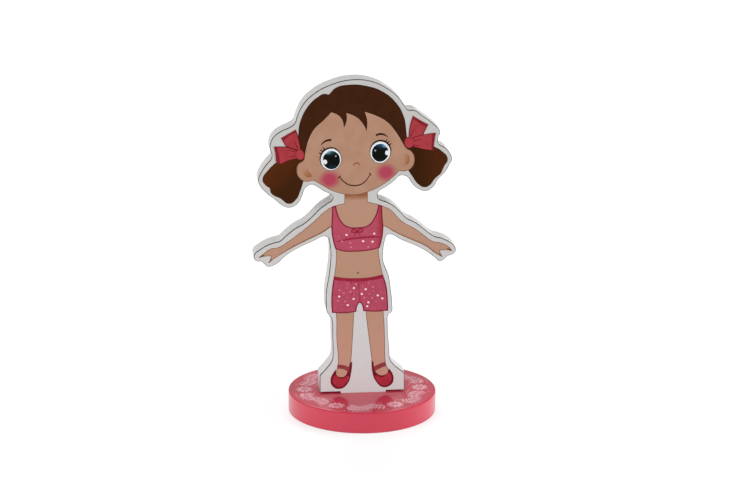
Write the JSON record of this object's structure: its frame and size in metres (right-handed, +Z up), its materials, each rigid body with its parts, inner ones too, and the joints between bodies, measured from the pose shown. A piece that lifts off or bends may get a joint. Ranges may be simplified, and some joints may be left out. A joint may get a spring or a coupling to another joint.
{
  "type": "magnetic dress-up doll",
  "caption": "Flat cut-out doll figure of laminated board with an iron-filled sheet under its printed face, so that magnetic clothes cling to it, standing by a tenon in a slotted round base.",
  "frame": {"origin": "middle of the base's underside, on the table", "axes": "+Z up along the way the figure lifts, -Y out of the printed face, +X to the right of someone looking at the face"},
  "size_m": [0.1016, 0.075, 0.1732],
  "materials": {
    "pink_lacquer": "glossy pink lacquer on turned wood",
    "white_lacquer": "satin white lacquer on fibreboard",
    "iron_rubber": "iron-filled sheet with a cut edge",
    "white_print": "printed white film with a gloss laminate"
  },
  "bodies": {
    "base": {"base_disc": "pink_lacquer"},
    "figure": {"figure_board": "white_lacquer", "iron_sheet": "iron_rubber", "printed_face": "white_print"}
  },
  "joints": [
    {"name": "figure_lift", "type": "slide", "parent": "base", "child": "figure", "axis": [0, 0, 1], "range_m": [0, 0.02]}
  ]
}
